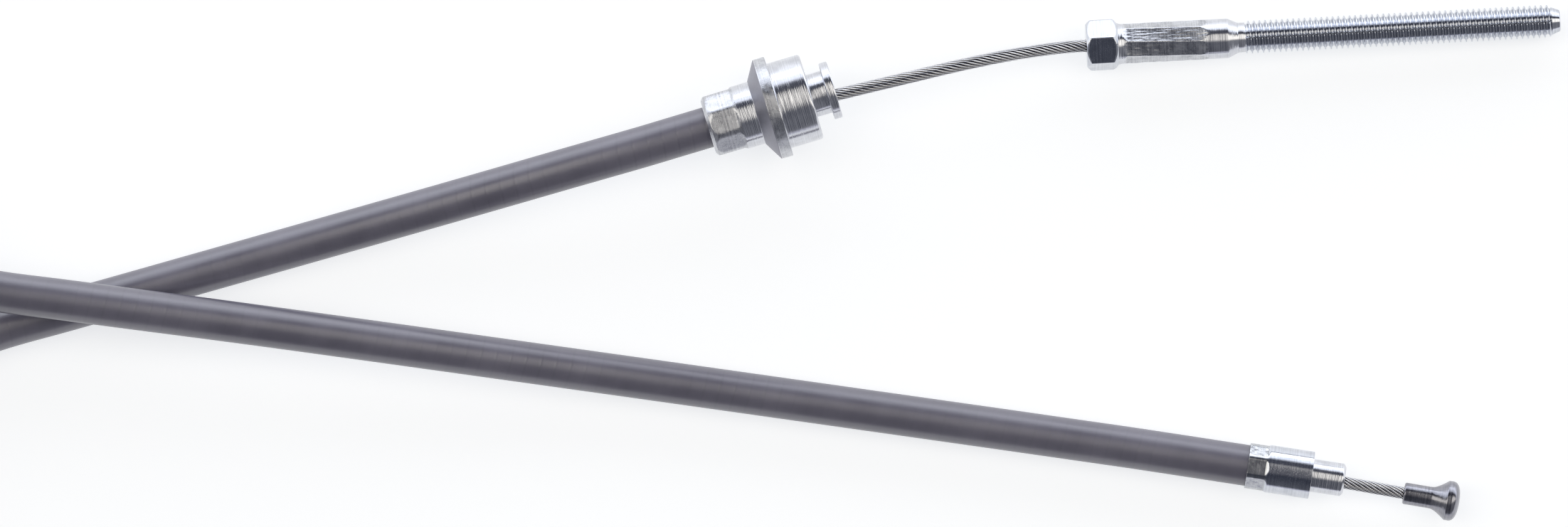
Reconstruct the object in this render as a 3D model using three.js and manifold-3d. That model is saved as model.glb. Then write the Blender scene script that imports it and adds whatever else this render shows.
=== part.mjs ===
// Front brake cable: a steel wire rope that slides in a sheathed spiral casing. One end of the
// wire carries a threaded stud, the other a trumpet nipple, and each end of the casing is crimped
// into a turned ferrule. Millimetres, +Z up. The cable lies on a flat surface at z = 0, and the
// origin is on that surface, under the middle of the fittings' bounding box.

import * as THREE from "three";
import { mergeVertices } from "three/addons/utils/BufferGeometryUtils.js";
import Module from "manifold-3d";

const wasm = await Module();
wasm.setup();

// Wire and casing, from the inside out
const WIRE_DIAMETER = 2.2;
const WIRE_PLAY = 0.55;
const LINER_WALL = 0.25;
const CONDUIT_WALL = 0.6;
const SHEATH_WALL = 0.85;
const LAYER_GAP = 0.15;
const FACE_GAP = 0.3;

// Flanged ferrule, from the mouth that grips the casing to the nose
const BARREL_WALL = 1.9;
const BARREL_LENGTH = 8.9;
const BARREL_CRIMP_LENGTH = 5.9;
const BARREL_CRIMP_DEPTH = 0.3;
const BARREL_EDGE = 0.6;
const CONE_LENGTH = 2.0;
const FLANGE_DIAMETER = 18.2;
const FLANGE_WIDTH = 2.2;
const BOSS_DIAMETER = 15.6;
const BOSS_LENGTH = 6.0;
const BOSS_EDGE = 0.55;
const NECK_DIAMETER = 7.74;
const NECK_LENGTH = 2.76;
const COLLAR_DIAMETER = 10.36;
const COLLAR_LENGTH = 1.54;
const COLLAR_EDGE = 0.3;
const SEAT_DEPTH = 12.0;
const NOSE_BORE_PLAY = 1.2;
const NOSE_BORE_EDGE = 0.5;

// End ferrule, from the mouth to the nose
const SLEEVE_WALL = 0.45;
const SLEEVE_LENGTH = 11.5;
const SLEEVE_CRIMP_LENGTH = 3.8;
const SLEEVE_CRIMP_DEPTH = 0.22;
const SLEEVE_FLOOR = 0.8;
const SPIGOT_DIAMETER = 5.86;
const SPIGOT_LENGTH = 5.9;
const SPIGOT_EDGE = 0.6;

// Threaded stud, from its hexagon to its tip
const HEX_ACROSS_FLATS = 8.0;
const HEX_LENGTH = 5.6;
const HEX_EDGE = 0.35;
const HEX_TURN = -15;
const SHOULDER_DIAMETER = 7.5;
const SHOULDER_LENGTH = 1.05;
const GRIP_DIAMETER = 7.07;
const GRIP_CRIMP_LENGTH = 15.3;
const GRIP_CRIMP_DEPTH = 0.3;
const GRIP_PLAIN_LENGTH = 3.4;
const TAPER_LENGTH = 1.7;
const UNDERCUT_DIAMETER = 5.3;
const UNDERCUT_LENGTH = 1.1;
const THREAD_DIAMETER = 5.9;
const THREAD_LENGTH = 54.5;
const TIP_LENGTH = 1.5;
const TIP_BASE_DIAMETER = 5.1;
const TIP_DIAMETER = 3.8;
const WIRE_GRIP_DEPTH = 21.5;

// Nipple, from its shank to its domed head
const SHANK_DIAMETER = 3.86;
const SHANK_LENGTH = 4.95;
const SHANK_EDGE = 0.35;
const TRUMPET_LENGTH = 2.65;
const HEAD_DIAMETER = 7.06;
const HEAD_LENGTH = 1.0;
const DOME_HEIGHT = 1.4;
const NIPPLE_GRIP_DEPTH = 7.0;
const WIRE_GRIP_GAP = 0.15;

// How far the wire slides from where it lies: out of the flanged ferrule, and into it
const PULL_TRAVEL = 10.0;
const PUSH_TRAVEL = 15.0;
const TRAVEL_RESERVE = 1.4;

// How far the casing stays straight outside its ferrules, and the wire outside the stud
const STRAIGHT_OUT = 12.0;
const WIRE_STRAIGHT_OUT = 1.5;

// Coil of the length that isn't laid out: two turns beside each other and one on the outer one
const COIL_MEAN_RADIUS = 38;
const COIL_CENTRE = [-258.8, -12.2];
const TURN_GAP = 0.2;
const TIE_THICKNESS = 0.6;
const TIE_WIDTH = 3.6;
const TIE_HEAD = [6.5, 4.2, 5.0];
const TIE_BEARING = 180;

// Where each fitting lies: its casing-side face centre (x, y) and its heading in degrees
const FLANGED_FERRULE_AT = [-74.9, 23.92];
const FLANGED_FERRULE_HEADING = 16.7;
const END_FERRULE_AT = [20.65, -35.97];
const END_FERRULE_HEADING = -8.7;
const STUD_AT = [-7.95, 38.37];
const STUD_HEADING = 3.06;
const NIPPLE_AT = [48.32, -40.86];
const NIPPLE_HEADING = -9.5;

// The wire leaves each ferrule leaning a little in its bore: the way it leaves and then slides
const STUD_WIRE_EXIT = [-52.24, 29.63];
const STUD_WIRE_HEADING = 13.5;
const NIPPLE_WIRE_HEADING = -10;

// Free stretches of the casing: x, y and the height above lying on the surface
const STUD_RUN_POINTS = [
  [-91.5, 19.0, 5.32],
  [-95.5, 17.86, 5.05],
  [-100.35, 16.48, 4.58],
  [-111.46, 13.28, 3.25],
  [-122.57, 10.1, 1.95],
  [-133.68, 6.95, 0.95],
  [-144.79, 3.8, 0.35],
  [-155.9, 0.66, 0.12],
  [-167.0, -2.48, 0.05],
  [-178.1, -5.62, 0.03],
  [-189.2, -8.74, 0.03],
  [-200.35, -11.86, 0.04],
  [-205.2, -13.65, 0.1],
  [-211.2, -17.3, 0.4],
];
const NIPPLE_RUN_POINTS = [
  [-0.35, -32.78, 0.3],
  [-11.46, -31.19, 0.1],
  [-22.57, -29.6, 0.04],
  [-33.68, -28.03, 0.03],
  [-44.79, -26.46, 0.06],
  [-67.02, -23.32, 0.3],
  [-89.24, -20.19, 1.0],
  [-111.46, -17.08, 2.5],
  [-133.68, -13.98, 4.4],
  [-155.9, -10.93, 6.2],
  [-178.1, -8.02, 7.7],
  [-189.2, -6.57, 8.1],
  [-200.35, -5.12, 8.3],
  [-205.6, -4.0, 8.35],
  [-212.2, -1.06, 8.4],
];

// Bare wire between the flanged ferrule and the stud: x, y and z
const STUD_WIRE_POINTS = [
  [-34.13, 33.98, 9.03],
  [-28.79, 35.2, 8.45],
  [-23.46, 36.31, 7.4],
  [-18.13, 37.25, 6.15],
  [-12.79, 37.98, 5.1],
];

// How far a cutting tool reaches past what it cuts
const CUT_BEYOND = 1.0;

// Facets
const TURNED_SIDES = 32;
const CASING_SIDES = 12;
const WIRE_SIDES = 8;
const COIL_SIDES = 40;
const COIL_ARC_STEP = 40;
const CASING_STEP = 16;
const WIRE_STEP = 5;

const ZINC = { color: 0xc4c8ce, metalness: 1.0, roughness: 0.28 };
const NICKEL = { color: 0x8d9096, metalness: 1.0, roughness: 0.3 };
const STEEL = { color: 0x9a9ca3, metalness: 1.0, roughness: 0.32 };
const SPRING_STEEL = { color: 0x77797f, metalness: 1.0, roughness: 0.45 };
const GREY_PLASTIC = { color: 0x75727f, metalness: 0.0, roughness: 0.42 };
const LINER_PLASTIC = { color: 0xe8e6dd, metalness: 0.0, roughness: 0.5 };
const TIE_PLASTIC = { color: 0x2c2c30, metalness: 0.0, roughness: 0.5 };

const wireRadius = WIRE_DIAMETER / 2;
const linerBore = wireRadius + WIRE_PLAY;
const linerRadius = linerBore + LINER_WALL;
const conduitBore = linerRadius + LAYER_GAP;
const conduitRadius = conduitBore + CONDUIT_WALL;
const sheathBore = conduitRadius + LAYER_GAP;
const casingRadius = sheathBore + SHEATH_WALL;
const seatRadius = casingRadius + LAYER_GAP;
const gripBore = wireRadius + WIRE_GRIP_GAP;
const sleeveRadius = seatRadius + SLEEVE_WALL;
const sleeveSeatDepth = SLEEVE_LENGTH - SLEEVE_FLOOR;
const endFerruleLength = SLEEVE_LENGTH + SPIGOT_LENGTH;
const flangedAxisHeight = FLANGE_DIAMETER / 2;
const flangeStart = BARREL_LENGTH + CONE_LENGTH;
const bossStart = flangeStart + FLANGE_WIDTH;
const neckStart = bossStart + BOSS_LENGTH;
const collarStart = neckStart + NECK_LENGTH;
const flangedFerruleLength = collarStart + COLLAR_LENGTH;

const radians = THREE.MathUtils.degToRad;

// A closed mesh geometry as a solid that can be joined and cut
function toSolid(geometry) {
  const bare = geometry.index ? geometry.toNonIndexed() : geometry.clone();
  bare.deleteAttribute("normal");
  bare.deleteAttribute("uv");
  const merged = mergeVertices(bare, 1e-4);
  const corners = merged.index.array;
  const triVerts = [];
  for (let i = 0; i < corners.length; i += 3) {
    const [a, b, c] = [corners[i], corners[i + 1], corners[i + 2]];
    if (a !== b && b !== c && c !== a) triVerts.push(a, b, c);
  }
  return new wasm.Manifold(
    new wasm.Mesh({
      numProp: 3,
      vertProperties: merged.attributes.position.array,
      triVerts: new Uint32Array(triVerts),
    }),
  );
}

// A solid as a geometry
function toGeometry(solid) {
  const mesh = solid.getMesh();
  const geometry = new THREE.BufferGeometry();
  geometry.setAttribute("position", new THREE.BufferAttribute(mesh.vertProperties, 3));
  geometry.setIndex(new THREE.BufferAttribute(mesh.triVerts, 1));
  geometry.computeVertexNormals();
  return geometry;
}

// A turned shape with its axis along +X, from [station, radius] corners
function turned(profile, sides = TURNED_SIDES) {
  const corners = profile.map(([station, radius]) => new THREE.Vector2(radius, station));
  return new THREE.LatheGeometry(corners, sides).rotateZ(-Math.PI / 2);
}

// What a set of crimping or milling faces takes off a turned shape: all that lies outside a
// regular prism along +X. The turn is a corner's angle from straight down, towards +Y.
function outsidePrism({ sides, acrossFlats, turn, from, to, reach }) {
  const cornerRadius = acrossFlats / 2 / Math.cos(Math.PI / sides);
  const ring = new THREE.Shape().absarc(0, 0, reach, 0, 2 * Math.PI, false);
  const hole = new THREE.Path();
  hole.setFromPoints(
    Array.from({ length: sides }, (_, i) => {
      const angle = radians(turn) + (i * 2 * Math.PI) / sides;
      return new THREE.Vector2(Math.cos(angle), Math.sin(angle)).multiplyScalar(cornerRadius);
    }),
  );
  hole.closePath();
  ring.holes.push(hole);
  const block = new THREE.ExtrudeGeometry(ring, {
    depth: to - from,
    bevelEnabled: false,
    curveSegments: 8,
  });
  return block.rotateY(Math.PI / 2).translate(from, 0, 0);
}

// Part of a route, measured along it in millimetres
class Stretch extends THREE.Curve {
  constructor(route, from, to) {
    super();
    this.route = route;
    this.from = from;
    this.to = to;
    this.whole = route.getLength();
  }
  getPoint(t) {
    return this.route.getPointAt((this.from + (this.to - this.from) * t) / this.whole);
  }
  getUtoTmapping(u) {
    return u;
  }
}

function polygon(radius, sides) {
  const step = (2 * Math.PI) / sides;
  return Array.from({ length: sides }, (_, i) => {
    return new THREE.Vector2(radius * Math.cos(i * step), radius * Math.sin(i * step));
  });
}

// A round bar or, with a bore, a tube along a curve
function tube(curve, { radius, bore = 0, sides, steps }) {
  const section = new THREE.Shape(polygon(radius, sides));
  if (bore > 0) section.holes.push(new THREE.Path(polygon(bore, sides)));
  return new THREE.ExtrudeGeometry(section, { steps, bevelEnabled: false, extrudePath: curve });
}

function piece(name, geometry, look) {
  const mesh = new THREE.Mesh(geometry, new THREE.MeshStandardMaterial(look));
  mesh.name = name;
  return mesh;
}

// The direction of a heading in the plane, in degrees from +X
function along(heading) {
  return new THREE.Vector3(Math.cos(radians(heading)), Math.sin(radians(heading)), 0);
}

function placed(mesh, [x, y], height, heading, dip = 0) {
  mesh.position.set(x, y, height);
  mesh.rotation.set(0, radians(dip), radians(heading), "ZYX");
  return mesh;
}

function flangedFerrule() {
  const barrel = seatRadius + BARREL_WALL;
  const nose = flangedFerruleLength;
  const bore = wireRadius + NOSE_BORE_PLAY;
  const body = toSolid(
    turned([
      [0, seatRadius],
      [0, barrel - BARREL_EDGE * 1.5],
      [BARREL_EDGE, barrel - BARREL_EDGE / 4],
      [BARREL_EDGE * 2, barrel],
      [BARREL_LENGTH, barrel],
      [flangeStart, FLANGE_DIAMETER / 2],
      [bossStart, FLANGE_DIAMETER / 2],
      [bossStart, BOSS_DIAMETER / 2],
      [neckStart - BOSS_EDGE, BOSS_DIAMETER / 2],
      [neckStart, BOSS_DIAMETER / 2 - BOSS_EDGE],
      [neckStart, NECK_DIAMETER / 2],
      [collarStart, NECK_DIAMETER / 2],
      [collarStart, COLLAR_DIAMETER / 2 - COLLAR_EDGE],
      [collarStart + COLLAR_EDGE, COLLAR_DIAMETER / 2],
      [nose - COLLAR_EDGE, COLLAR_DIAMETER / 2],
      [nose, COLLAR_DIAMETER / 2 - COLLAR_EDGE],
      [nose, bore + NOSE_BORE_EDGE],
      [nose - NOSE_BORE_EDGE, bore],
      [SEAT_DEPTH, bore],
      [SEAT_DEPTH, seatRadius],
      [0, seatRadius],
    ]),
  );
  const crimp = toSolid(
    outsidePrism({
      sides: 8,
      acrossFlats: 2 * (barrel - BARREL_CRIMP_DEPTH),
      turn: 22.5,
      from: -CUT_BEYOND,
      to: BARREL_CRIMP_LENGTH,
      reach: barrel + CUT_BEYOND,
    }),
  );
  return piece("flanged_ferrule", toGeometry(body.subtract(crimp)), ZINC);
}

function endFerrule() {
  const bore = linerBore;
  const body = toSolid(
    turned([
      [0, seatRadius],
      [0, sleeveRadius],
      [SLEEVE_LENGTH, sleeveRadius],
      [SLEEVE_LENGTH, SPIGOT_DIAMETER / 2],
      [endFerruleLength - SPIGOT_EDGE, SPIGOT_DIAMETER / 2],
      [endFerruleLength, SPIGOT_DIAMETER / 2 - SPIGOT_EDGE],
      [endFerruleLength, bore],
      [sleeveSeatDepth, bore],
      [sleeveSeatDepth, seatRadius],
      [0, seatRadius],
    ]),
  );
  const crimp = toSolid(
    outsidePrism({
      sides: 8,
      acrossFlats: 2 * (sleeveRadius - SLEEVE_CRIMP_DEPTH),
      turn: 22.5,
      from: -CUT_BEYOND,
      to: SLEEVE_CRIMP_LENGTH,
      reach: sleeveRadius + CUT_BEYOND,
    }),
  );
  return piece("end_ferrule", toGeometry(body.subtract(crimp)), ZINC);
}

const hexCornerRadius = HEX_ACROSS_FLATS / 2 / Math.cos(Math.PI / 6);
const gripStart = HEX_LENGTH + SHOULDER_LENGTH;
const gripPlainStart = gripStart + GRIP_CRIMP_LENGTH;
const taperStart = gripPlainStart + GRIP_PLAIN_LENGTH;
const undercutStart = taperStart + TAPER_LENGTH;
const threadStart = undercutStart + UNDERCUT_LENGTH;
const threadEnd = threadStart + THREAD_LENGTH;
const studLength = threadEnd + TIP_LENGTH;

function threadedStud() {
  const body = toSolid(
    turned([
      [0, gripBore],
      [0, hexCornerRadius - 2 * HEX_EDGE],
      [HEX_EDGE, hexCornerRadius],
      [HEX_LENGTH - HEX_EDGE, hexCornerRadius],
      [HEX_LENGTH, hexCornerRadius - 2 * HEX_EDGE],
      [HEX_LENGTH, SHOULDER_DIAMETER / 2],
      [gripStart, GRIP_DIAMETER / 2],
      [taperStart, GRIP_DIAMETER / 2],
      [undercutStart, UNDERCUT_DIAMETER / 2],
      [threadStart, UNDERCUT_DIAMETER / 2],
      [threadStart, THREAD_DIAMETER / 2],
      [threadEnd, THREAD_DIAMETER / 2],
      [threadEnd, TIP_BASE_DIAMETER / 2],
      [studLength, TIP_DIAMETER / 2],
      [studLength, 0],
      [WIRE_GRIP_DEPTH, 0],
      [WIRE_GRIP_DEPTH, gripBore],
      [0, gripBore],
    ]),
  );
  const hexagon = toSolid(
    outsidePrism({
      sides: 6,
      acrossFlats: HEX_ACROSS_FLATS,
      turn: HEX_TURN,
      from: -CUT_BEYOND,
      to: HEX_LENGTH,
      reach: hexCornerRadius + CUT_BEYOND,
    }),
  );
  const crimp = toSolid(
    outsidePrism({
      sides: 8,
      acrossFlats: GRIP_DIAMETER - 2 * GRIP_CRIMP_DEPTH,
      turn: 0,
      from: gripStart,
      to: gripPlainStart,
      reach: GRIP_DIAMETER / 2 + CUT_BEYOND,
    }),
  );
  return piece("threaded_stud", toGeometry(body.subtract(hexagon).subtract(crimp)), ZINC);
}

function nipple() {
  const trumpetStart = SHANK_LENGTH;
  const headStart = trumpetStart + TRUMPET_LENGTH;
  const domeStart = headStart + HEAD_LENGTH;
  const shank = SHANK_DIAMETER / 2;
  const head = HEAD_DIAMETER / 2;
  const flare = [0.35, 0.7].map((t) => [
    trumpetStart + TRUMPET_LENGTH * t,
    shank + (head - shank) * t ** 1.3,
  ]);
  const dome = [30, 60].map((angle) => [
    domeStart + DOME_HEIGHT * Math.sin(radians(angle)),
    head * Math.cos(radians(angle)) ** 0.7,
  ]);
  const profile = [
    [0, gripBore],
    [0, shank - SHANK_EDGE],
    [SHANK_EDGE, shank],
    [trumpetStart, shank],
    ...flare,
    [headStart, head],
    [domeStart, head],
    ...dome,
    [domeStart + DOME_HEIGHT, 0],
    [NIPPLE_GRIP_DEPTH, 0],
    [NIPPLE_GRIP_DEPTH, gripBore],
    [0, gripBore],
  ];
  return piece("nipple", turned(profile), NICKEL);
}

const flangedMouth = new THREE.Vector3(...FLANGED_FERRULE_AT, flangedAxisHeight);
const endMouth = new THREE.Vector3(...END_FERRULE_AT, sleeveRadius);
const nippleFace = new THREE.Vector3(...NIPPLE_AT, sleeveRadius);
const wireExit = new THREE.Vector3(...STUD_WIRE_EXIT, flangedAxisHeight);

// The stud lies on its lowest hexagon corner and on the end of its thread
const hexDrop = hexCornerRadius * Math.cos(radians(HEX_TURN));
const hexContact = HEX_LENGTH - HEX_EDGE;
const studDip = Math.atan2(hexDrop - THREAD_DIAMETER / 2, threadEnd - hexContact);
const studHeight = hexDrop * Math.cos(studDip) + hexContact * Math.sin(studDip);
const studFace = new THREE.Vector3(...STUD_AT, studHeight);
const studAxis = along(STUD_HEADING).multiplyScalar(Math.cos(studDip));
studAxis.z = -Math.sin(studDip);

const from = (start, direction, distance) => start.clone().addScaledVector(direction, distance);

// A casing route: straight out of its ferrule, then along the surface to the coil
function casingRoute(mouth, heading, seat, points) {
  const axis = along(heading);
  const face = seat - FACE_GAP;
  return new THREE.CatmullRomCurve3(
    [
      from(mouth, axis, face),
      from(mouth, axis, face / 2),
      mouth,
      from(mouth, axis, -STRAIGHT_OUT / 2),
      from(mouth, axis, -STRAIGHT_OUT),
      ...points.map(([x, y, rise]) => new THREE.Vector3(x, y, casingRadius + rise)),
    ],
    false,
    "centripetal",
  );
}

// The layers of one run of casing. The wire in it starts where the sliding wire never reaches.
function casingRun(name, route, slidingReach) {
  const length = route.getLength();
  const steps = Math.round(length / CASING_STEP);
  const skipped = Math.ceil((slidingReach + FACE_GAP) / (length / steps));
  const whole = new Stretch(route, 0, length);
  const rest = new Stretch(route, (skipped * length) / steps, length);
  const layer = (bore, radius) => tube(whole, { radius, bore, sides: CASING_SIDES, steps });
  const wire = tube(rest, { radius: wireRadius, sides: WIRE_SIDES, steps: steps - skipped });
  return [
    piece("sheath_" + name, layer(sheathBore, casingRadius), GREY_PLASTIC),
    piece("conduit_" + name, layer(conduitBore, conduitRadius), SPRING_STEEL),
    piece("liner_" + name, layer(linerBore, linerRadius), LINER_PLASTIC),
    piece("wire_" + name, wire, STEEL),
  ];
}

// The sliding wire at the stud: from inside the ferrule to the bottom of the stud's bore
function studWire() {
  const way = along(STUD_WIRE_HEADING);
  const grip = WIRE_GRIP_DEPTH - FACE_GAP;
  const route = new THREE.CatmullRomCurve3(
    [
      from(wireExit, way, -PULL_TRAVEL - TRAVEL_RESERVE),
      from(wireExit, way, -PULL_TRAVEL / 2),
      wireExit,
      from(wireExit, way, PUSH_TRAVEL / 2),
      from(wireExit, way, PUSH_TRAVEL),
      ...STUD_WIRE_POINTS.map((p) => new THREE.Vector3(...p)),
      from(studFace, studAxis, -WIRE_STRAIGHT_OUT),
      studFace,
      from(studFace, studAxis, grip / 4),
      from(studFace, studAxis, grip / 2),
      from(studFace, studAxis, grip),
    ],
    false,
    "centripetal",
  );
  const steps = Math.round(route.getLength() / WIRE_STEP);
  const bar = tube(route, { radius: wireRadius, sides: WIRE_SIDES, steps });
  return piece("wire_stud_end", bar, STEEL);
}

// The sliding wire at the nipple: straight through the end ferrule, long enough to stay in it
function nippleWire() {
  const way = along(NIPPLE_WIRE_HEADING);
  const nose = from(endMouth, along(END_FERRULE_HEADING), endFerruleLength);
  const tail = nippleFace.distanceTo(nose) + PUSH_TRAVEL + TRAVEL_RESERVE;
  const grip = NIPPLE_GRIP_DEPTH - FACE_GAP;
  const route = new THREE.LineCurve3(from(nippleFace, way, -tail), from(nippleFace, way, grip));
  const bar = tube(route, { radius: wireRadius, sides: WIRE_SIDES, steps: 1 });
  return piece("wire_nipple_end", bar, STEEL);
}

const turnPitch = 2 * casingRadius + TURN_GAP;
const coilLift = TIE_THICKNESS + FACE_GAP;
const coilTurns = [
  [COIL_MEAN_RADIUS - turnPitch / 2, coilLift + casingRadius],
  [COIL_MEAN_RADIUS + turnPitch / 2, coilLift + casingRadius],
  [COIL_MEAN_RADIUS + turnPitch / 2, coilLift + casingRadius + turnPitch],
];

// The outline at a distance round the coil's three turns, whose centres run anticlockwise
function roundTurns(distance) {
  const count = coilTurns.length;
  const edgeNormals = coilTurns.map(([r, z], i) => {
    const [rNext, zNext] = coilTurns[(i + 1) % count];
    return Math.atan2(zNext - z, rNext - r) - Math.PI / 2;
  });
  return coilTurns.flatMap(([r, z], i) => {
    const start = edgeNormals[(i + count - 1) % count];
    const sweep = (edgeNormals[i] - start + 4 * Math.PI) % (2 * Math.PI);
    const parts = Math.ceil(sweep / radians(COIL_ARC_STEP));
    return Array.from({ length: parts + 1 }, (_, k) => {
      const turn = start + (sweep * k) / parts;
      return [r + distance * Math.cos(turn), z + distance * Math.sin(turn)];
    });
  });
}

function casingCoil() {
  const outline = roundTurns(casingRadius);
  const corners = [...outline, outline[0]].map(([r, z]) => new THREE.Vector2(r, z));
  const ring = new THREE.LatheGeometry(corners, COIL_SIDES).rotateX(Math.PI / 2);
  const mesh = piece("casing_coil", ring, GREY_PLASTIC);
  mesh.position.set(...COIL_CENTRE, 0);
  return mesh;
}

// A plain strap tie round the turns, with its head on the outside
function coilTie() {
  const corners = (distance) => roundTurns(distance).map(([r, z]) => new THREE.Vector2(r, z));
  const band = new THREE.Shape(corners(casingRadius + FACE_GAP + TIE_THICKNESS));
  band.holes.push(new THREE.Path(corners(casingRadius + FACE_GAP)));
  const strap = new THREE.ExtrudeGeometry(band, { depth: TIE_WIDTH, bevelEnabled: false });
  strap.translate(0, 0, -TIE_WIDTH / 2).rotateX(Math.PI / 2);
  const [headHeight, headDepth, headWidth] = TIE_HEAD;
  const outside = COIL_MEAN_RADIUS + turnPitch / 2 + casingRadius + FACE_GAP;
  const head = new THREE.BoxGeometry(headDepth, headWidth, headHeight);
  head.translate(outside + headDepth / 2, 0, coilLift + casingRadius + turnPitch / 2);
  const mesh = piece("coil_tie", toGeometry(toSolid(strap).add(toSolid(head))), TIE_PLASTIC);
  return placed(mesh, COIL_CENTRE, 0, TIE_BEARING);
}

const studRoute = casingRoute(flangedMouth, FLANGED_FERRULE_HEADING, SEAT_DEPTH, STUD_RUN_POINTS);
const nippleRoute = casingRoute(endMouth, END_FERRULE_HEADING, sleeveSeatDepth, NIPPLE_RUN_POINTS);
const slidingTail = PULL_TRAVEL + PUSH_TRAVEL + TRAVEL_RESERVE;
const studReach = slidingTail - (flangedFerruleLength - SEAT_DEPTH);
const nippleReach = slidingTail - (endFerruleLength - sleeveSeatDepth);

const cable = new THREE.Group();
cable.add(
  placed(flangedFerrule(), FLANGED_FERRULE_AT, flangedAxisHeight, FLANGED_FERRULE_HEADING),
  placed(endFerrule(), END_FERRULE_AT, sleeveRadius, END_FERRULE_HEADING),
  placed(threadedStud(), STUD_AT, studHeight, STUD_HEADING, THREE.MathUtils.radToDeg(studDip)),
  placed(nipple(), NIPPLE_AT, sleeveRadius, NIPPLE_HEADING),
  studWire(),
  nippleWire(),
  ...casingRun("stud_run", studRoute, studReach),
  ...casingRun("nipple_run", nippleRoute, nippleReach),
  casingCoil(),
  coilTie(),
);

export default cable;
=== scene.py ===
"""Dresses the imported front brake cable: a steel rope that slides in a grey sheathed casing, with a
flanged ferrule, an end ferrule, a threaded stud and a trumpet nipple. Lengths are in millimetres
until a mesh is made, and the frame is the CAD's."""

import math

import bmesh
import bpy
import numpy as np
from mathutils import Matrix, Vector


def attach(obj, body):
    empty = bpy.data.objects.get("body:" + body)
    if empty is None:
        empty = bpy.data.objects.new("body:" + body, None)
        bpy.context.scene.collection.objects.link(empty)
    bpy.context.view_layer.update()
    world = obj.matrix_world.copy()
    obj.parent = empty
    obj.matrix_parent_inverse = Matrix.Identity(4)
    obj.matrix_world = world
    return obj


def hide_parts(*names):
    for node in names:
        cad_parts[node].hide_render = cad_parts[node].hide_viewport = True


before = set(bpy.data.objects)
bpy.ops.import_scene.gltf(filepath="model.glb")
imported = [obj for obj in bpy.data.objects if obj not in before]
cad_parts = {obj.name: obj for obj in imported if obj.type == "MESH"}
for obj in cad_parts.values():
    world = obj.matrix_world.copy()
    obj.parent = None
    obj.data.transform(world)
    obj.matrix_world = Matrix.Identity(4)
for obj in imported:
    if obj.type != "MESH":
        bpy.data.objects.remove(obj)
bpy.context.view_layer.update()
scene = bpy.context.scene
MM = 0.001

# The photograph's view: straight down, 277.8 mm across
VIEW_CENTRE = (-61.46, -0.19)
VIEW_WIDTH = 2500 / 9
CAMERA_HEIGHT = 3005

WIRE_RADIUS = 1.1
STRAND_RADIUS = 0.222
OUTER_STRANDS = 12
ROPE_LAY = 14.3
CASING_RADIUS = 3.65
RING_PITCH = 2.68
SHEATH_BORE = 2.7
CONDUIT_RADIUS = 2.65
CONDUIT_BORE = 1.95
LINER_RADIUS = 1.9
LINER_BORE = 1.58

FLANGED_MOUTH = (-74.9, 23.92, 9.1)
FLANGED_HEADING = 16.7
FLANGED_SEAT = 11.7
END_MOUTH = (20.65, -35.97, 4.25)
END_HEADING = -8.7
END_SEAT = 10.4
STUD_FACE = (-7.95, 38.37, 4.563)
STUD_HEADING = 3.06
STUD_DIP = 1.1187
NIPPLE_FACE = (48.32, -40.86, 4.25)
NIPPLE_HEADING = -9.5
WIRE_EXIT = (-52.24, 29.63, 9.1)
STUD_WIRE_HEADING = 13.5
NIPPLE_WIRE_HEADING = -10
NIPPLE_TAIL = 26.9

# Free stretches of the casing: x, y and the height above lying on the floor
STUD_RUN_POINTS = [
    (-91.5, 19.0, 5.32), (-95.5, 17.86, 5.05), (-100.35, 16.48, 4.58), (-111.46, 13.28, 3.25),
    (-122.57, 10.1, 1.95), (-133.68, 6.95, 0.95), (-144.79, 3.8, 0.35), (-155.9, 0.66, 0.12),
    (-167.0, -2.48, 0.05), (-178.1, -5.62, 0.03), (-189.2, -8.74, 0.03), (-200.35, -11.86, 0.04),
    (-205.2, -13.65, 0.1), (-211.2, -17.3, 0.4),
]
NIPPLE_RUN_POINTS = [
    (-0.35, -32.78, 0.3), (-11.46, -31.19, 0.1), (-22.57, -29.6, 0.04), (-33.68, -28.03, 0.03),
    (-44.79, -26.46, 0.06), (-67.02, -23.32, 0.3), (-89.24, -20.19, 1.0), (-111.46, -17.08, 2.5),
    (-133.68, -13.98, 4.4), (-155.9, -10.93, 6.2), (-178.1, -8.02, 7.7), (-189.2, -6.57, 8.1),
    (-200.35, -5.12, 8.3), (-205.6, -4.0, 8.35), (-212.2, -1.06, 8.4),
]
STUD_WIRE_POINTS = [
    (-34.13, 33.98, 9.03), (-28.79, 35.2, 8.45), (-23.46, 36.31, 7.4), (-18.13, 37.25, 6.15),
    (-12.79, 37.98, 5.1),
]

# The coil of the length that the photograph doesn't show, and the bends that lead into it
COIL_CENTRE = np.array((-258.8, -12.2))
OUTER_TURN = 41.75
INNER_TURN = 34.25
TURN_PITCH = 7.5
TIE_LIFT = 0.65
FIRST_BEARING = -24.4
WHOLE_TURN = 1023.8
STEP_IN_AT = 285
STEP_IN_TURN = 60
CLIMB_AT = 645
CLIMB_TURN = 60
STEP_OUT_AT = 705
STEP_OUT_TURN = 70
LEAD_RADIUS = 32
STUD_LEAD_CENTRE = (-191.64, -42.65)
NIPPLE_LEAD_CENTRE = (-196.12, 26.60)


# Curves


def axes(heading, dip=0.0):
    """A fitting's own axes in the frame: along it, across it and up."""
    h, d = math.radians(heading), math.radians(dip)
    ahead = np.array((math.cos(h) * math.cos(d), math.sin(h) * math.cos(d), -math.sin(d)))
    across = np.array((-math.sin(h), math.cos(h), 0.0))
    return ahead, across, np.cross(ahead, across)


def smooth(t):
    t = np.clip(t, 0.0, 1.0)
    return t * t * (3 - 2 * t)


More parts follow.
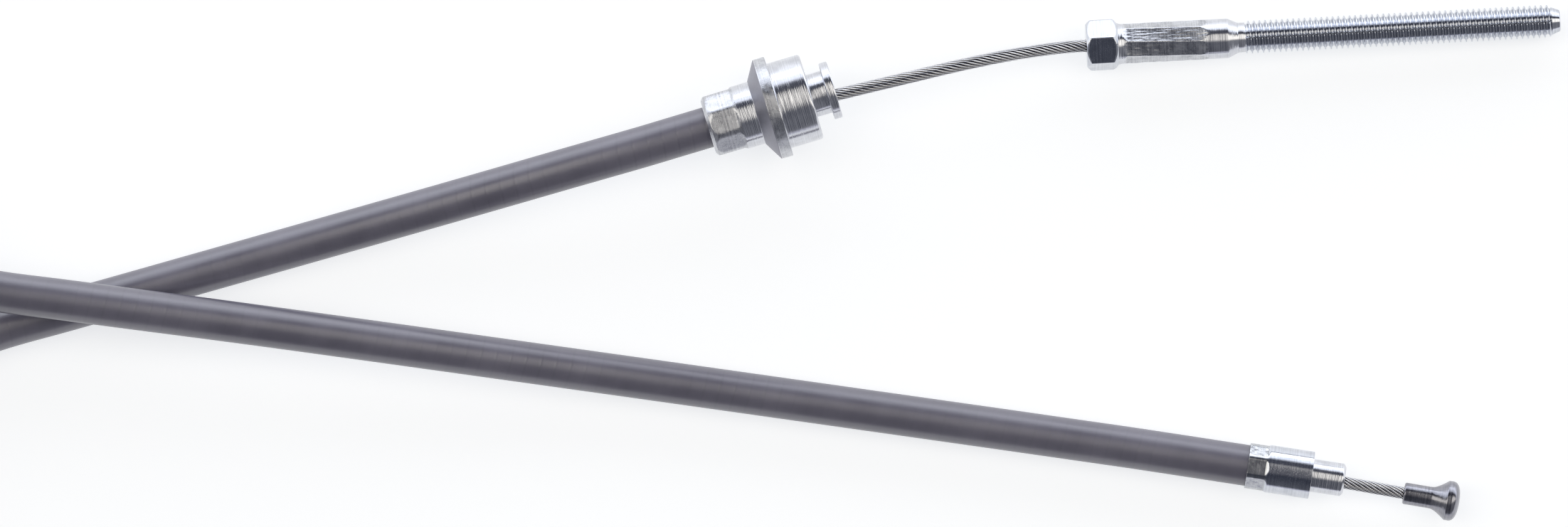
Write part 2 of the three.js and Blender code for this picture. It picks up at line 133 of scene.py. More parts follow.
def spaced(points, step):
    """The polyline with points evenly spaced, about step apart."""
    points = np.asarray(points, float)
    along = np.concatenate(([0], np.cumsum(np.linalg.norm(np.diff(points, axis=0), axis=1))))
    at = np.linspace(0, along[-1], max(2, round(along[-1] / step) + 1))
    return np.stack([np.interp(at, along, points[:, k]) for k in range(3)], axis=1)


def spline(points, step):
    """The centripetal Catmull-Rom curve through points, as points about step apart."""
    p = np.asarray(points, float)
    p = np.vstack((2 * p[0] - p[1], p, 2 * p[-1] - p[-2]))
    out = []
    for a, b, c, d in zip(p, p[1:], p[2:], p[3:]):
        ta, tb, tc = (max(np.linalg.norm(v) ** 0.5, 1e-4) for v in (b - a, c - b, d - c))
        m1 = ((b - a) / ta - (c - a) / (ta + tb) + (c - b) / tb) * tb
        m2 = ((c - b) / tb - (d - b) / (tb + tc) + (d - c) / tc) * tb
        count = max(4, int(np.linalg.norm(c - b) / 0.25))
        t = (np.arange(count) / count)[:, None]
        out.append(b + m1 * t + (3 * (c - b) - 2 * m1 - m2) * t**2 + (2 * (b - c) + m1 + m2) * t**3)
    return spaced(np.vstack(out + [p[-2][None]]), step)


def turn_radius(turned_by):
    """The first turn lies outside on the floor, and steps in beside itself for the second."""
    return OUTER_TURN - (OUTER_TURN - INNER_TURN) * smooth((turned_by - STEP_IN_AT) / STEP_IN_TURN)


def coil_points():
    """From the stud run's bend clockwise: one outer turn, one inner, and one on the outer."""
    points = []
    for turned_by in np.linspace(0, WHOLE_TURN, 96):
        bearing = math.radians(FIRST_BEARING - turned_by)
        lift = TIE_LIFT * (0.5 - 0.5 * math.cos(bearing))
        climb = math.pi / 2 * float(smooth((turned_by - CLIMB_AT) / CLIMB_TURN))
        if turned_by < CLIMB_AT:
            radius, height = float(turn_radius(turned_by)), 0.0
        else:
            under = float(turn_radius(turned_by - 360))
            radius = under - TURN_PITCH * math.cos(climb)
            step = float(smooth((turned_by - STEP_OUT_AT) / STEP_OUT_TURN))
            radius += (OUTER_TURN - INNER_TURN) * step
            height = TURN_PITCH * math.sin(climb)
        x, y = COIL_CENTRE + radius * np.array((math.cos(bearing), math.sin(bearing)))
        points.append((x, y, CASING_RADIUS + lift + height))
    return points


def lead_points(centre, start, end, low, high):
    """A bend between a run and the coil, with its height changing evenly."""
    out = []
    for t in np.linspace(0, 1, 5)[1:-1]:
        angle = math.radians(start + (end - start) * t)
        x, y = np.array(centre) + LEAD_RADIUS * np.array((math.cos(angle), math.sin(angle)))
        out.append((x, y, low + (high - low) * float(smooth(t))))
    return out


def out_of(mouth, heading, seat):
    """The casing's straight stretch, from its seat in a ferrule to 12 mm outside the mouth."""
    ahead = axes(heading)[0]
    return [np.array(mouth) + ahead * d for d in (seat, seat / 2, 0, -6, -12)]


def casing_route():
    stud_run = [(x, y, CASING_RADIUS + rise) for x, y, rise in STUD_RUN_POINTS]
    nipple_run = [(x, y, CASING_RADIUS + rise) for x, y, rise in NIPPLE_RUN_POINTS]
    coil = coil_points()
    return spline(
        out_of(FLANGED_MOUTH, FLANGED_HEADING, FLANGED_SEAT)
        + stud_run
        + lead_points(STUD_LEAD_CENTRE, 127.7, 155.6, stud_run[-1][2], coil[0][2])
        + coil
        + lead_points(NIPPLE_LEAD_CENTRE, 211.8, 239.8, coil[-1][2], nipple_run[-1][2])
        + nipple_run[::-1]
        + out_of(END_MOUTH, END_HEADING, END_SEAT)[::-1],
        1.25,
    )


def stud_wire_route():
    way = axes(STUD_WIRE_HEADING)[0]
    ahead = axes(STUD_HEADING, STUD_DIP)[0]
    leaving = [np.array(WIRE_EXIT) + way * d for d in (-11.4, -5, 0, 7.5, 15)]
    entering = [np.array(STUD_FACE) + ahead * d for d in (-1.5, 0, 5.3, 10.6, 21.2)]
    return spline(leaving + STUD_WIRE_POINTS + entering, 0.5)


def nipple_wire_route():
    way = axes(NIPPLE_WIRE_HEADING)[0]
    return spaced([np.array(NIPPLE_FACE) + way * d for d in (-NIPPLE_TAIL, 0, 6.7)], 0.5)


# Meshes


def mesh_object(name, vertices, faces, uvs=None, weigh=True):
    """A smooth-shaded piece from vertices in millimetres. Its normals are weighed by area, so that
    flat faces stay flat beside their rounded edges."""
    mesh = bpy.data.meshes.new(name)
    mesh.from_pydata((np.asarray(vertices) * MM).tolist(), [], [list(f) for f in faces])
    if uvs is not None:
        layer = mesh.uv_layers.new(name="along_and_round")
        layer.data.foreach_set("uv", np.asarray(uvs, np.float32).ravel())
    mesh.shade_smooth()
    if weigh:
        normals = np.zeros((len(mesh.vertices), 3))
        for polygon in mesh.polygons:
            normals[list(polygon.vertices)] += np.array(polygon.normal) * polygon.area
        length = np.linalg.norm(normals, axis=1, keepdims=True)
        normals = np.where(length > 1e-20, normals / np.maximum(length, 1e-20), (0, 0, 1))
        mesh.normals_split_custom_set_from_vertices(normals.tolist())
    obj = bpy.data.objects.new(name, mesh)
    scene.collection.objects.link(obj)
    return obj


def grid(rows, columns, closed_rows):
    """Quads of a grid of vertices whose columns go round."""
    i = np.arange(rows if closed_rows else rows - 1)[:, None]
    j = np.arange(columns)[None, :]
    nxt, side = (i + 1) % rows, (j + 1) % columns
    quads = np.stack(
        (i * columns + j, i * columns + side, nxt * columns + side, nxt * columns + j), axis=-1
    )
    return quads.reshape(-1, 4)


def grid_uvs(along, round_length, columns, closed_rows):
    """UVs in millimetres for grid's quads: along the piece and round it."""
    last = along[-1] + 0.1 if closed_rows else None
    here = np.asarray(along) if closed_rows else np.asarray(along)[:-1]
    there = np.append(np.asarray(along)[1:], last) if closed_rows else np.asarray(along)[1:]
    v = np.arange(columns + 1) / columns * round_length
    uv = np.empty((len(here), columns, 4, 2))
    uv[..., 0, 0] = uv[..., 1, 0] = here[:, None]
    uv[..., 2, 0] = uv[..., 3, 0] = there[:, None]
    uv[..., 0, 1] = uv[..., 3, 1] = v[None, :-1]
    uv[..., 1, 1] = uv[..., 2, 1] = v[None, 1:]
    return uv.reshape(-1, 2)


def carried(points):
    """Tangents and two normals at each point of a polyline, with no twist between them."""
    tangent = np.gradient(points, axis=0)
    tangent /= np.linalg.norm(tangent, axis=1, keepdims=True)
    normal = np.empty_like(points)
    side = np.cross(tangent[0], (0, 0, -1.0))
    normal[0] = np.cross(side, tangent[0]) / np.linalg.norm(side)
    for k in range(1, len(points)):
        n = normal[k - 1] - tangent[k] * (normal[k - 1] @ tangent[k])
        normal[k] = n / np.linalg.norm(n)
    return tangent, normal, np.cross(tangent, normal)


def swept(points, radius, sides, bore=0.0):
    """Vertices, faces and UVs of a round bar along points, or of a tube, with flat ends."""
    points = np.asarray(points, float)
    _, normal, across = carried(points)
    turn = np.arange(sides) / sides * 2 * math.pi
    ring = np.cos(turn)[None, :, None] * normal[:, None]
    ring = ring + np.sin(turn)[None, :, None] * across[:, None]
    vertices = (points[:, None] + radius * ring).reshape(-1, 3)
    faces = grid(len(points), sides, False)
    along = np.concatenate(([0], np.cumsum(np.linalg.norm(np.diff(points, axis=0), axis=1))))
    uvs = grid_uvs(along, 2 * math.pi * radius, sides, False)
    last = (len(points) - 1) * sides
    if bore:
        count, here = len(vertices), np.arange(sides)
        there = (here + 1) % sides
        inside = (points[:, None] + bore * ring).reshape(-1, 3)
        near = np.stack((there, here, here + count, there + count), axis=1)
        far = last + np.stack((here, there, there + count, here + count), axis=1)
        inside_uvs = uvs.reshape(-1, 4, 2)[:, ::-1].reshape(-1, 2)
        all_uvs = np.vstack((uvs, inside_uvs, np.zeros((8 * sides, 2))))
        all_faces = np.vstack((faces, faces[:, ::-1] + count, near, far))
        return np.vstack((vertices, inside)), all_faces.tolist(), all_uvs
    caps = [list(range(sides))[::-1], list(range(last, last + sides))]
    faces = [list(f) for f in faces] + caps
    uvs = np.vstack((uvs, np.tile((along[0], 0), (sides, 1)), np.tile((along[-1], 0), (sides, 1))))
    return vertices, faces, uvs


def joined(parts):
    """Several (vertices, faces, uvs) as one."""
    vertices, faces, uvs, first = [], [], [], 0
    for v, f, uv in parts:
        vertices.append(v)
        faces += [[first + i for i in face] for face in f]
        uvs.append(uv)
        first += len(v)
    return np.vstack(vertices), faces, np.vstack(uvs)


def bar(name, points, radius, sides, bore=0.0):
    return mesh_object(name, *swept(points, radius, sides, bore), weigh=False)


def rope(name, points):
    """A 1 x 19 rope with right-hand lay: twelve outer strands over the inner ones. Its attribute
    says how deep between the strands each point lies, for the painted shade there: near-black
    colour."""
    points = np.asarray(points, float)
    _, normal, across = carried(points)
    along = np.concatenate(([0], np.cumsum(np.linalg.norm(np.diff(points, axis=0), axis=1))))
    parts = [swept(points, WIRE_RADIUS - 1.35 * STRAND_RADIUS, 16)]
    rise = [np.zeros(len(parts[0][0]))]
    for k in range(OUTER_STRANDS):
        turn = 2 * math.pi * along / ROPE_LAY + 2 * math.pi * k / OUTER_STRANDS
        offset = np.cos(turn)[:, None] * normal + np.sin(turn)[:, None] * across
        parts.append(swept(points + (WIRE_RADIUS - STRAND_RADIUS) * offset, STRAND_RADIUS, 12))
        around = parts[-1][0].reshape(len(points), -1, 3) - points[:, None]
        rise.append(np.linalg.norm(around, axis=2).ravel() / WIRE_RADIUS)
    obj = mesh_object(name, *joined(parts), weigh=False)
    # Painted shade: the deeper a point lies between the strands (and the whole core), the nearer
    # black its colour is painted.
    depth = smooth((0.985 - np.concatenate(rise)) / 0.09)
    gap_shade = obj.data.attributes.new("gap_shade", "FLOAT", "POINT")
    gap_shade.data.foreach_set("value", depth.astype(np.float32))
    return obj


def filleted(corners):
    """A profile of (station, radius, fillet radius) corners as plain points, arcs included."""
    out = []
    for k, corner in enumerate(corners):
        point = np.array(corner[:2], float)
        fillet = corner[2] if len(corner) > 2 else 0
        if not fillet or k in (0, len(corners) - 1):
            out.append(point)
            continue
        to_last = np.array(corners[k - 1][:2]) - point
        to_next = np.array(corners[k + 1][:2]) - point
        room = 0.49 * min(np.linalg.norm(to_last), np.linalg.norm(to_next))
        u, v = to_last / np.linalg.norm(to_last), to_next / np.linalg.norm(to_next)
        angle = math.acos(max(-1.0, min(1.0, float(u @ v))))
        if math.pi - angle < 0.02:
            out.append(point)
            continue
        reach = min(fillet / math.tan(angle / 2), room)
        radius = reach * math.tan(angle / 2)
        centre = point + (u + v) / np.linalg.norm(u + v) * radius / math.sin(angle / 2)
        a, b = point + u * reach - centre, point + v * reach - centre
        sweep = math.pi - angle
        for t in np.linspace(0, 1, max(3, round(math.degrees(sweep) / 15) + 1)):
            from_a, from_b = math.sin(sweep * (1 - t)), math.sin(sweep * t)
            out.append(centre + (a * from_a + b * from_b) / math.sin(sweep))
    return np.array(out)


def filled(profile, fine):
    """The profile with points at most spacing apart within each (from, to, spacing) of fine."""
    out = [profile[0]]
    for p, q in zip(profile, profile[1:]):
        step = 1e9
        for low, high, spacing in fine:
            if max(p[0], q[0]) > low + 1e-6 and min(p[0], q[0]) < high - 1e-6:
                step = min(step, spacing)
        count = max(1, math.ceil(np.linalg.norm(q - p) / step))
        out += [p + (q - p) * t for t in np.arange(1, count + 1) / count]
    return np.array(out)


def revolved(corners, place, way, sides=128, shape=None, fine=(), turn=0.0):
    """A turned shape along way from place, as (vertices, faces, uvs). shape(station, angle, radius)
    may give each point another radius. The angle is from straight up towards the left side."""
    profile = filled(filleted(corners), fine)
    closed = np.allclose(corners[0][:2], corners[-1][:2])
    if closed:
        profile = profile[:-1]
    station, radius = profile[:, :1], profile[:, 1:]
    angle = math.radians(turn) + np.arange(sides)[None, :] / sides * 2 * math.pi
    full = np.broadcast_to(radius, (len(profile), sides)).copy()
    if shape:
        full = shape(np.broadcast_to(station, full.shape), np.broadcast_to(angle, full.shape), full)
    ahead, across, up = way
    vertices = (
        np.array(place)
        + station[..., None] * ahead
        + (full * np.sin(angle))[..., None] * across
        + (full * np.cos(angle))[..., None] * up
    ).reshape(-1, 3)
    faces = grid(len(profile), sides, closed)
    along = np.concatenate(([0], np.cumsum(np.linalg.norm(np.diff(profile, axis=0), axis=1))))
    uvs = grid_uvs(along, 2 * math.pi * float(np.median(radius)), sides, closed)
    return vertices, faces[:, ::-1], uvs.reshape(-1, 4, 2)[:, ::-1].reshape(-1, 2)


def lattice(station, angle, cell, cells_round, seed):
    """Smooth noise from -1 to 1 over a turned surface, the same on each run."""
    values = np.random.default_rng(seed).uniform(-1, 1, (256, cells_round))
    s, a = station / cell, (angle / (2 * math.pi)) % 1.0 * cells_round
    i, j = np.floor(s).astype(int), np.floor(a).astype(int)
    u, v = smooth(s - i), smooth(a - j)

    def at(di, dj):
        return values[(i + di) % len(values), (j + dj) % cells_round]

    near = at(0, 0) * (1 - v) + at(0, 1) * v
    far = at(1, 0) * (1 - v) + at(1, 1) * v
    return near * (1 - u) + far * u


def flats(angle, sides, apothem, corner):
    """The radius of a regular prism whose corners start at the angle corner, in degrees."""
    half = math.pi / sides
    off = (angle - math.radians(corner)) % (2 * half) - half
    return apothem / np.cos(off)


def ridges(angle, sides, corner, height, width):
    """The raised metal along a prism's corners, left between the crimping dies."""
    half = math.pi / sides
    off = half - np.abs((angle - math.radians(corner)) % (2 * half) - half)
    return height * np.exp(-((off / width) ** 2))


def lesser(a, b, blend):
    """The smaller of two radii, with the edge between them rounded."""
    h = np.clip(0.5 + 0.5 * (b - a) / blend, 0, 1)
    return b * (1 - h) + a * h - blend * h * (1 - h)


# Camera

camera = bpy.data.objects.new("camera", bpy.data.cameras.new("camera"))
scene.collection.objects.link(camera)
camera.location = (VIEW_CENTRE[0] * MM, VIEW_CENTRE[1] * MM, CAMERA_HEIGHT * MM)
camera.data.sensor_width = 36
camera.data.lens = 36 * (CAMERA_HEIGHT - 5) / VIEW_WIDTH
camera.data.clip_start = 0.1
camera.data.clip_end = 30
scene.camera = camera
scene.view_settings.view_transform = "Standard"
scene.view_settings.look = "None"


# Materials


def add(tree, kind, settings=None, **inputs):
    """A node with its settings and inputs. An input is named as its socket, or i and a number."""
    node = tree.nodes.new(kind)
    for name, value in (settings or {}).items():
        setattr(node, name, value)
    for name, value in inputs.items():
        key = int(name[1:]) if name[0] == "i" and name[1:].isdigit() else name.replace("_", " ")
        if isinstance(value, bpy.types.NodeSocket):
            tree.links.new(value, node.inputs[key])
        else:
            node.inputs[key].default_value = value
    return node


def maths(tree, operation, *values):
    inputs = {f"i{k}": v for k, v in enumerate(values)}
    return add(tree, "ShaderNodeMath", {"operation": operation}, **inputs).outputs[0]


def ranged(tree, value, low, high, to_low, to_high):
    node = add(tree, "ShaderNodeMapRange", None, i0=value, i1=low, i2=high, i3=to_low, i4=to_high)
    return node.outputs[0]


def noise_of(tree, vector, scale, detail=2.0, roughness=0.5):
    inputs = {"Vector": vector, "Scale": scale, "Detail": detail, "Roughness": roughness}
    return add(tree, "ShaderNodeTexNoise", None, **inputs).outputs["Fac"]


def line_noise(tree, value, scale, detail=2.0):
    settings = {"noise_dimensions": "1D"}
    node = add(tree, "ShaderNodeTexNoise", settings, W=value, Scale=scale, Detail=detail)
    return node.outputs["Fac"]


def bumped(tree, height, distance, normal=None):
    inputs = {"Height": height, "Distance": distance * MM, "Strength": 1.0}
    if normal is not None:
        inputs["Normal"] = normal
    return add(tree, "ShaderNodeBump", None, **inputs).outputs["Normal"]


def mixed(tree, factor, a, b):
    node = add(tree, "ShaderNodeMix", {"data_type": "RGBA"}, i0=factor)
    node.inputs[6].default_value = (*a, 1)
    node.inputs[7].default_value = (*b, 1)
    return node.outputs[2]


def new_material(name, colour):
    material = bpy.data.materials.new(name)
    material.use_nodes = True
    material.diffuse_color = (*colour, 1)
    tree = material.node_tree
    shader = tree.nodes["Principled BSDF"]
    where = add(tree, "ShaderNodeTexCoord")
    settings = {"operation": "SCALE"}
    spot = add(tree, "ShaderNodeVectorMath", settings, i0=where.outputs["Object"], Scale=1 / MM)
    along = add(tree, "ShaderNodeSeparateXYZ", None, Vector=where.outputs["UV"])
    return material, tree, shader, spot.outputs[0], along.outputs[0], along.outputs[1]


def metal(
    name, light, dark, roughness, lines=0.0, line_scale=3.0, pits=0.0, pit_scale=4.0, specks=0.0
):
    """Plated metal: turning lines round it, small pits and specks, and cloudy colour and gloss.
    Where a piece carries the rope's gap attribute, its colour is painted near-black there as shade."""
    material, tree, shader, spot, along, _ = new_material(name, light)
    clouds = noise_of(tree, spot, 0.6, 3.0)
    streaks = line_noise(tree, along, line_scale, 3.0)
    worn = maths(tree, "MULTIPLY_ADD", clouds, 0.6, maths(tree, "MULTIPLY", streaks, 0.4))
    shader.inputs["Metallic"].default_value = 1.0
    plate = mixed(tree, ranged(tree, worn, 0.35, 0.65, 0, 1), dark, light)
    # Painted shade: near-black colour deep in the gaps between a rope's strands.
    gap_shade_mask = add(tree, "ShaderNodeAttribute", {"attribute_name": "gap_shade"}).outputs["Fac"]
    gap_shade_colour = (0.012, 0.012, 0.014, 1)
    gap_shaded_plate = add(tree, "ShaderNodeMix", {"data_type": "RGBA"}, i0=gap_shade_mask, i6=plate, i7=gap_shade_colour)
    tree.links.new(gap_shaded_plate.outputs[2], shader.inputs["Base Color"])
    low, high = roughness
    tree.links.new(ranged(tree, worn, 0.3, 0.7, low, high), shader.inputs["Roughness"])
    normal = None
    if lines:
        normal = bumped(tree, streaks, lines)
    if pits:
        normal = bumped(tree, noise_of(tree, spot, pit_scale, 3.0, 0.6), pits, normal)
    if specks:
        dots = ranged(tree, noise_of(tree, spot, 7.0, 1.0), 0.66, 0.74, 0, 1)
        normal = bumped(tree, dots, specks, normal)
    if normal is not None:
        tree.links.new(normal, shader.inputs["Normal"])
    return material


def sheath_material():
    """Extruded grey plastic over a flat-wire spiral, which shows as faint grooved rings. The colour
    is also darker in the rings: painted shade in their grooves.
    """
    light, dark = (0.165, 0.158, 0.205), (0.115, 0.11, 0.147)
    material, tree, shader, spot, along, around = new_material("sheath_plastic", light)
    share = maths(tree, "DIVIDE", around, 2 * math.pi * CASING_RADIUS)
    turn = maths(tree, "ADD", maths(tree, "DIVIDE", along, RING_PITCH), share)
    wave = maths(tree, "PINGPONG", turn, 0.5)
    ring_groove_profile = ranged(tree, wave, 0.0, 0.13, 0.0, 1.0)
    patch = ranged(tree, line_noise(tree, along, 0.03, 1.0), 0.42, 0.6, 0.25, 1.0)
    ring_dent_and_shade = maths(tree, "MULTIPLY", ring_groove_profile, patch)
    clouds = noise_of(tree, spot, 0.12, 4.0, 0.6)
    grain = noise_of(tree, spot, 2.2, 2.0)
    # Cloudy tone of the plastic, and painted shade: the colour is darker in the ring grooves.
    shade = maths(tree, "MULTIPLY_ADD", clouds, 0.8, maths(tree, "MULTIPLY", ring_dent_and_shade, 0.1))
    colour = mixed(tree, ranged(tree, shade, 0.3, 0.8, 0, 1), dark, light)
    tree.links.new(colour, shader.inputs["Base Color"])
    tree.links.new(ranged(tree, clouds, 0.3, 0.7, 0.3, 0.37), shader.inputs["Roughness"])
    shader.inputs["Specular IOR Level"].default_value = 1.0
    shader.inputs["IOR"].default_value = 1.6
    normal = bumped(tree, ring_dent_and_shade, 0.016)
    normal = bumped(tree, grain, 0.01, normal)
    tree.links.new(normal, shader.inputs["Normal"])
    return material


def plastic(name, light, dark, roughness, grain=0.01):
    material, tree, shader, spot, _, _ = new_material(name, light)
    clouds = noise_of(tree, spot, 0.5, 3.0)
    colour = mixed(tree, ranged(tree, clouds, 0.3, 0.7, 0, 1), dark, light)
    gloss = ranged(tree, clouds, 0.3, 0.7, roughness - 0.05, roughness + 0.05)
    tree.links.new(colour, shader.inputs["Base Color"])
    tree.links.new(gloss, shader.inputs["Roughness"])
    tree.links.new(bumped(tree, noise_of(tree, spot, 4.0), grain), shader.inputs["Normal"])
    return material


zinc = metal(
    "zinc_smooth", (0.66, 0.68, 0.73), (0.53, 0.55, 0.6), (0.07, 0.13),
    lines=0.003, pits=0.002, pit_scale=3.0, specks=0.003,
)
zinc_turned = metal(
    "zinc_turned", (0.7, 0.71, 0.75), (0.56, 0.57, 0.61), (0.1, 0.18),
    lines=0.05, line_scale=4.0, pits=0.003,
)
zinc_crimp = metal(
    "zinc_crimped", (0.67, 0.68, 0.71), (0.42, 0.43, 0.46), (0.2, 0.36), pits=0.03, pit_scale=3.5
)
zinc_pressed = metal(
    "zinc_pressed", (0.6, 0.61, 0.63), (0.42, 0.43, 0.45), (0.1, 0.18), pits=0.006, pit_scale=3.5
)
# The cone's darker colour is painted shade, standing for the shaded floor and casing it reflects;
# its higher roughness is its own duller finish.
zinc_cone_painted_shade = metal(
    "zinc_cone_painted_shade", (0.36, 0.36, 0.41), (0.3, 0.3, 0.34), (0.42, 0.52),
    lines=0.01, line_scale=4.0, pits=0.01,
)
nickel = metal(
    "nickel_cast", (0.35, 0.35, 0.38), (0.24, 0.24, 0.27), (0.14, 0.26), pits=0.02, pit_scale=1.8
)
steel = metal(
    "strand_steel", (0.7, 0.7, 0.72), (0.5, 0.5, 0.52), (0.09, 0.16), pits=0.004, pit_scale=5.0
)
spring = metal(
    "spring_steel", (0.45, 0.46, 0.48), (0.33, 0.34, 0.36), (0.35, 0.5),
    lines=0.01, line_scale=1.5, pits=0.01, pit_scale=3.0,
)
sheath_grey = sheath_material()
liner_white = plastic("liner_plastic", (0.8, 0.78, 0.73), (0.72, 0.7, 0.66), 0.5)
tie_nylon = plastic("tie_nylon", (0.03, 0.03, 0.033), (0.018, 0.018, 0.02), 0.45, 0.02)


def dressed(obj, material, body, slot, *nodes):
    """The piece with its finish, riding on its body and standing for its CAD nodes."""
    if material:
        obj.data.materials.append(material)
    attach(obj, body)
    if nodes:
        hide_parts(*nodes)
    return obj


# Cords

route = casing_route()
route_length = float(np.linalg.norm(np.diff(route, axis=0), axis=1).sum())
stud_wire = stud_wire_route()
nipple_wire = nipple_wire_route()

sheath = dressed(
    bar("sheath", route, CASING_RADIUS, 40, SHEATH_BORE),
    sheath_grey, "casing", "sheath", "sheath_stud_run", "sheath_nipple_run", "casing_coil",
)
inner = spaced(route, 3.0)
conduit = dressed(
    bar("conduit", inner, CONDUIT_RADIUS, 20, CONDUIT_BORE),
    spring, "casing", "spring_steel", "conduit_stud_run", "conduit_nipple_run",
)
liner = dressed(
    bar("liner", inner, LINER_RADIUS, 20, LINER_BORE),
    liner_white, "casing", "liner", "liner_stud_run", "liner_nipple_run",
)
wire_inside = dressed(
    bar("wire_inside", inner[8:-8], WIRE_RADIUS, 10),
    steel, "casing", "wire_rope", "wire_stud_run", "wire_nipple_run",
)
stud_rope = dressed(
    rope("rope_stud_end", stud_wire), steel, "stud_end", "wire_rope", "wire_stud_end"
)
nipple_rope = dressed(
    rope("rope_nipple_end", nipple_wire), steel, "nipple_end", "wire_rope", "wire_nipple_end"
)


def coil_tie():
    """A strap tie round the coil's turns at bearing 180, with its head outside and a cut tail."""
    base = CASING_RADIUS + TIE_LIFT
    turns = [(INNER_TURN, base), (OUTER_TURN, base), (OUTER_TURN, base + TURN_PITCH)]
    outline = []
    for i, (r, z) in enumerate(turns):
        (r0, z0), (r1, z1) = turns[i - 1], turns[(i + 1) % 3]
        start = math.atan2(z - z0, r - r0) - math.pi / 2
        end = math.atan2(z1 - z, r1 - r) - math.pi / 2
        sweep = (end - start) % (2 * math.pi)
        for t in np.linspace(0, 1, max(2, math.ceil(sweep / 0.15))):
            turn = start + sweep * t
            outline.append((r, z, math.cos(turn), math.sin(turn)))
    outline = np.array(outline)
    section = filleted(
        [(0, 0), (0, -1.8, 0.1), (0.6, -1.8, 0.25), (0.6, 1.8, 0.25), (0, 1.8, 0.1), (0, 0)]
    )[:-1]
    rows, columns = len(outline), len(section)
    depth = CASING_RADIUS + 0.04 + section[:, 0]
    radial = outline[:, 0:1] + depth[None] * outline[:, 2:3]
    height = outline[:, 1:2] + depth[None] * outline[:, 3:4]
    vertices = np.stack(
        (
            COIL_CENTRE[0] - radial,
            np.broadcast_to(COIL_CENTRE[1] + section[:, 1][None], radial.shape),
            height,
        ),
        axis=-1,
    ).reshape(-1, 3)
    faces = grid(rows, columns, True)
    mesh = bpy.data.meshes.new("strap")
    mesh.from_pydata((vertices * MM).tolist(), [], faces.tolist())
    build = bmesh.new()
    build.from_mesh(mesh)
    outside = OUTER_TURN + CASING_RADIUS + 0.1
    for size, centre, edge in (
        ((4.2, 5.0, 6.5), (outside + 2.1, 0, base + TURN_PITCH / 2), 0.5),
        ((1.1, 3.5, 9.6), (outside + 2.4, 0, base + TURN_PITCH / 2 + 0.7), 0.2),
    ):
        made = bmesh.ops.create_cube(build, size=1.0)["verts"]
        for v in made:
            v.co = Vector((
                (COIL_CENTRE[0] - centre[0] - v.co.x * size[0]) * MM,
                (COIL_CENTRE[1] + centre[1] + v.co.y * size[1]) * MM,
                (centre[2] + v.co.z * size[2]) * MM,
            ))
        edges = list({e for v in made for e in v.link_edges})
        bmesh.ops.bevel(build, geom=edges, offset=edge * MM, segments=3, affect="EDGES")
    bmesh.ops.recalc_face_normals(build, faces=build.faces)
    build.to_mesh(mesh)
    build.free()
    mesh.shade_smooth()
    obj = bpy.data.objects.new("coil_strap", mesh)
    scene.collection.objects.link(obj)
    return obj


strap = dressed(coil_tie(), tie_nylon, "casing", "tie", "coil_tie")


# Fittings


def with_materials(obj, materials, chosen):
    """Gives the piece its finishes, and each face the one whose number chosen holds."""
    for material in materials:
        obj.data.materials.append(material)
    obj.data.polygons.foreach_set("material_index", np.asarray(chosen, np.int32))
    return obj


def face_stations(obj, place, way):
    """Each face's station along the piece, and its distance from the axis."""
    centres = np.array([p.center for p in obj.data.polygons]) / MM - np.array(place)
    station = centres @ way[0]
    return station, np.linalg.norm(centres - station[:, None] * way[0], axis=1)


def flanged_ferrule():
    way = axes(FLANGED_HEADING)

    def shape(s, angle, r):
        ramp = 0.45 * smooth((s - 5.2) / 0.9)
        faces = flats(angle, 8, 5.4 + ramp, 22.5)
        rough = 0.015 * lattice(s, angle, 0.35, 100, 3) * smooth((6.0 - s) / 0.4)
        barrel = (s < 8.6) & (r > 4.4)
        dimples = 0.032 * lattice(s, angle, 0.7, 64, 5) * (r > 8.9) * (s > 11) * (s < 13)
        return np.where(barrel, lesser(r, faces + rough, 0.12), r + dimples)

    parts = revolved(
        [
            (0, 3.8), (0, 4.75, 0.12), (0.55, 5.4, 0.3), (1.3, 5.7, 0.6), (8.9, 5.7, 0.15),
            (10.9, 9.1, 0.1), (13.1, 9.1, 0.22), (13.1, 7.8, 0.12), (19.1, 7.8, 0.55),
            (19.1, 3.87, 0.1), (21.86, 3.87, 0.12), (21.86, 5.18, 0.25), (23.4, 5.18, 0.25),
            (23.4, 2.75, 0.1), (22.9, 2.3, 0.1), (12, 2.3), (12, 3.8), (0, 3.8),
        ],
        FLANGED_MOUTH, way, sides=192, shape=shape, fine=[(0.2, 6.4, 0.16), (11.0, 13.0, 0.25)],
    )
    obj = mesh_object("ferrule_flanged", *parts)
    station, distance = face_stations(obj, FLANGED_MOUTH, way)
    crimp = (station < 5.9) & (distance > 4.9)
    cone = (station > 8.95) & (station < 10.95) & (distance > 5.6)
    rim = (station > 11) & (station < 13.0) & (distance > 9.0)
    chosen = np.where(cone, 2, np.where(crimp | rim, 1, 0))
    return with_materials(obj, [zinc_turned, zinc_crimp, zinc_cone_painted_shade], chosen)


def end_ferrule():
    way = axes(END_HEADING)

    def shape(s, angle, r):
        ramp = 0.3 * smooth((s - 3.2) / 0.7)
        faces = flats(angle, 8, 4.03 + ramp, 22.5)
        rough = 0.007 * lattice(s, angle, 0.5, 56, 7) * (s < 3.8)
        return np.where((s < 4.4) & (r > 4.0), lesser(r, faces + rough, 0.05), r)

    parts = revolved(
        [
            (0, 3.8), (0, 4.25, 0.06), (11.5, 4.25, 0.06), (11.5, 2.93, 0.08),
            (17.0, 2.93, 0.35), (17.4, 2.4, 0.25), (17.4, 1.65, 0.08), (10.7, 1.65), (10.7, 3.8),
            (0, 3.8),
        ],
        END_MOUTH, way, sides=192, shape=shape, fine=[(0.1, 4.4, 0.16)],
    )
    obj = mesh_object("ferrule_end", *parts)
    station, distance = face_stations(obj, END_MOUTH, way)
    chosen = np.where(station > 11.4, 2, np.where((station < 3.4) & (distance > 3.9), 1, 0))
    return with_materials(obj, [zinc, zinc_pressed, zinc_turned], chosen)


